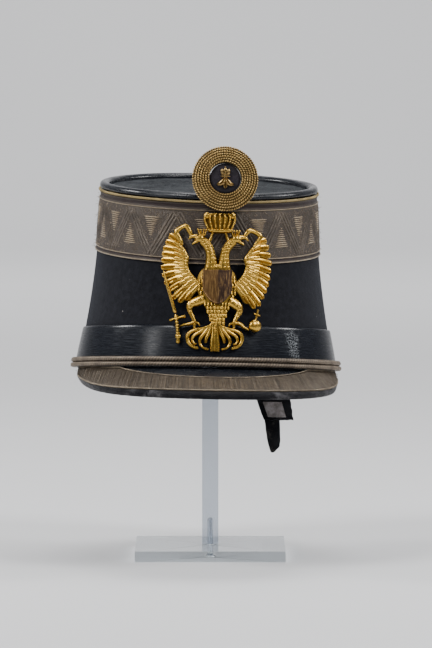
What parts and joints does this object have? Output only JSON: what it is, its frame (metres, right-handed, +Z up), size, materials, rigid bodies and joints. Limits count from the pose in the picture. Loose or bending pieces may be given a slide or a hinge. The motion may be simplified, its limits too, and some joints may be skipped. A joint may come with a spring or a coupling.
{
  "type": "shako hat on a display stand",
  "caption": "Tapered black felt officer's shako with metal lace, gilt eagle plate, cockade, cords and peak, held up on a clear post and square base.",
  "frame": {"origin": "middle of the whole thing's footprint, on the table", "axes": "+Z up along the stand's post, -Y to the front, where the peak points, +X to the onlooker's right"},
  "size_m": [0.1822, 0.2556, 0.2756],
  "materials": {
    "black_felt": "matt black felt",
    "lacquered_leather": "black lacquer, crackled",
    "crown_leather": "grey-black grained leather, worn",
    "metal_lace": "aged gold lace",
    "gold_thread": "aged gold thread",
    "twisted_cord": "aged metal cord",
    "binding_leather": "black, cracked and rubbed",
    "gilt_brass": "gilt, darkened in the hollows",
    "shield_bronze": "worn brown bronze",
    "gold_purl": "wound gold purl",
    "dark_velvet": "dark velvet",
    "strap_leather": "black leather, cracked",
    "label_cloth": "soiled grey cloth, blank",
    "clear_acrylic": "clear, polished",
    "steel": "bright"
  },
  "bodies": {
    "root": {"body_shell": "black_felt", "lower_band": "lacquered_leather", "lace_band": "metal_lace", "lace_edge_cord": "gold_thread", "crown_rim": "lacquered_leather", "crown_disc": "crown_leather", "chin_cord_lower": "twisted_cord", "chin_cord_upper": "twisted_cord", "peak": "lacquered_leather", "peak_lace": "gold_thread", "peak_binding": "binding_leather", "eagle": "gilt_brass", "eagle_shield": "shield_bronze", "cockade_rings": "gold_purl", "cockade_disc": "dark_velvet", "cockade_ornament": "gilt_brass", "cockade_stem": "steel", "strap_flap": "strap_leather", "strap_tongue": "strap_leather", "strap_label": "label_cloth", "crown_support": "clear_acrylic", "stand_base": "clear_acrylic", "stand_post": "clear_acrylic", "stand_screw": "steel"}
  },
  "joints": []
}
